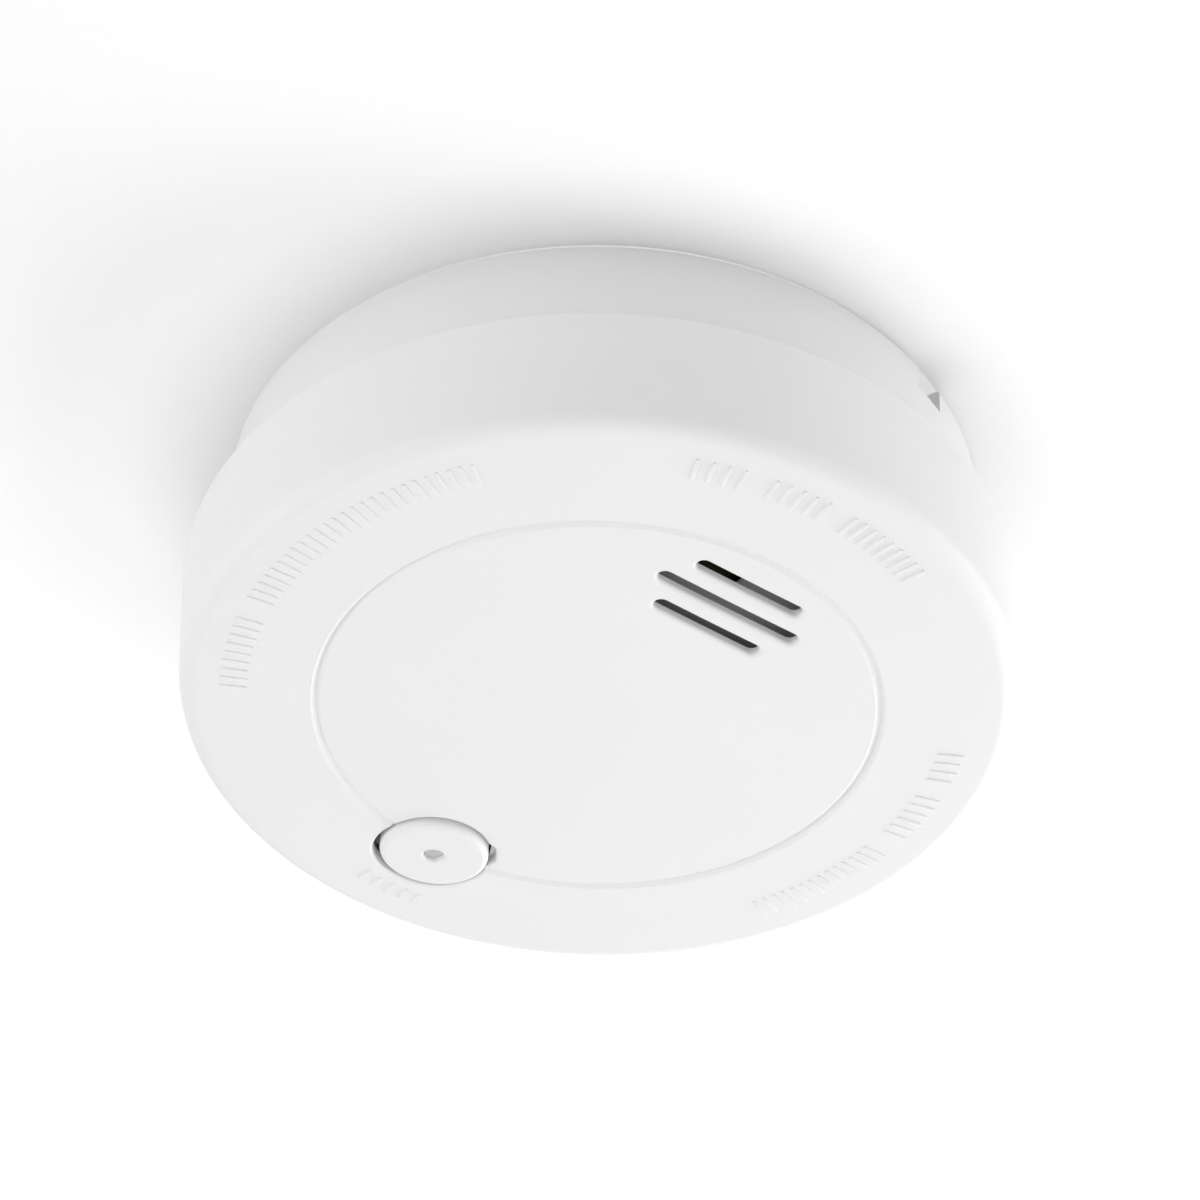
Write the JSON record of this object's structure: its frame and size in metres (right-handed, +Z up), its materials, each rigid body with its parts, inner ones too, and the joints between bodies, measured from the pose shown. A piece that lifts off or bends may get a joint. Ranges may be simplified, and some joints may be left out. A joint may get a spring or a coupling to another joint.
{
  "type": "smoke detector",
  "caption": "Round ceiling smoke detector with a twist-on mounting plate, stepped white housing, domed cover, tilting test button and slotted sounder grille.",
  "frame": {"origin": "centre of the mounting plate's flat ceiling face", "axes": "+Z up into the ceiling, so the detector hangs below the origin; the test button is towards -Y and the sounder grille towards +Y"},
  "size_m": [0.104, 0.104, 0.0354],
  "materials": {
    "white_shell": "fine satin moulded ABS, faint spark texture",
    "light_guide": "clear acrylic",
    "red_lens": "tinted epoxy",
    "black_plastic": "light-absorbing matt black",
    "grey_plastic": "satin",
    "dark_plastic": "satin",
    "board_laminate": "solder mask over glass laminate",
    "ceramic": "silvered ceramic",
    "clear_epoxy": "water-clear epoxy",
    "black_epoxy": "infrared-pass epoxy",
    "steel": "zinc or nickel plated",
    "brass": "rolled",
    "capacitor_sleeve": "shrink sleeve",
    "battery_jacket": "printed steel jacket, left plain"
  },
  "bodies": {
    "ceiling_plate": {"mounting_plate": "white_shell"},
    "detector": {"rear_housing": "white_shell", "front_cover": "white_shell", "switch_body": "black_plastic", "status_led": "red_lens", "circuit_board": "board_laminate", "control_chip": "black_plastic", "capacitor_large": "capacitor_sleeve", "capacitor_small": "capacitor_sleeve", "boost_coil": "black_plastic", "board_screw_1": "steel", "board_screw_2": "steel", "board_screw_3": "steel", "board_screw_4": "steel", "sounder_cup": "grey_plastic", "sounder_lid": "dark_plastic", "piezo_disc": "brass", "piezo_ceramic": "ceramic", "piezo_contact_centre": "steel", "chamber_base": "black_plastic", "chamber_cap": "black_plastic", "insect_screen": "steel", "ir_emitter": "clear_epoxy", "photodiode": "black_epoxy", "battery_case": "battery_jacket", "battery_stud": "steel", "battery_socket": "steel", "contact_plus": "steel", "contact_minus": "steel"},
    "button": {"test_button": "white_shell", "button_light_guide": "light_guide"},
    "plunger": {"switch_plunger": "grey_plastic"}
  },
  "joints": [
    {"name": "bayonet_twist", "type": "hinge", "parent": "ceiling_plate", "child": "detector", "pos_m": [0, 0, 0], "axis": [0, 0, -1], "range_deg": [0, 12]},
    {"name": "test_button_press", "type": "hinge", "parent": "detector", "child": "button", "pos_m": [-0.00015, -0.044, -0.03], "axis": [1, 0, 0], "range_deg": [0, 4], "stiffness_Nm_per_rad": 0.4, "springref_deg": -2.86},
    {"name": "switch_plunger_press", "type": "slide", "parent": "detector", "child": "plunger", "axis": [0, 0, 1], "range_m": [0, 0.00035]}
  ],
  "couplings": [
    {"joint": "switch_plunger_press", "follows": "test_button_press", "m_per_rad": 0.005}
  ]
}
